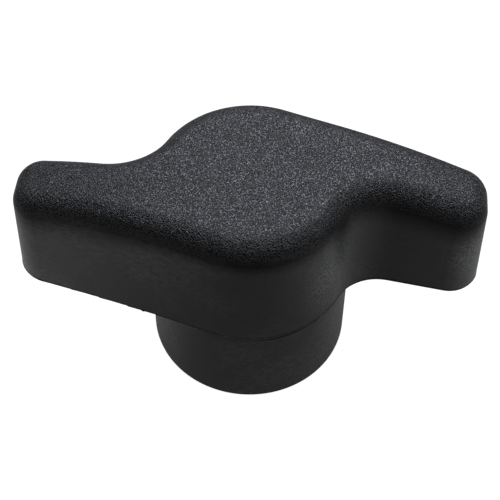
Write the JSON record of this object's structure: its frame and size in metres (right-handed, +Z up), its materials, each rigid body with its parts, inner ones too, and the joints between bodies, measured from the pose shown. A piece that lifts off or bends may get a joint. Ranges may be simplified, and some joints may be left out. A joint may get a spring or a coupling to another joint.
{
  "type": "wing nut",
  "caption": "Hand-tightened wing nut: S-shaped moulded plastic handle with rounded top edges, a round collar and a blind threaded metal bush.",
  "frame": {"origin": "on the thread axis at the clamping face, the lowest plane of the nut", "axes": "+Z up from the clamping face to the crown, along the thread axis; +X along the wings, tip to tip, with the wing at +X lying on the +Y side of the axis; +Y completes the right-handed frame"},
  "size_m": [0.063, 0.0282, 0.0336],
  "materials": {
    "black_plastic": "black glass-filled polyamide, coarse spark-eroded grain on top, finer satin sides",
    "bush_brass": "turned brass"
  },
  "bodies": {
    "root": {"wing_handle": "black_plastic", "threaded_insert": "bush_brass"}
  },
  "joints": []
}
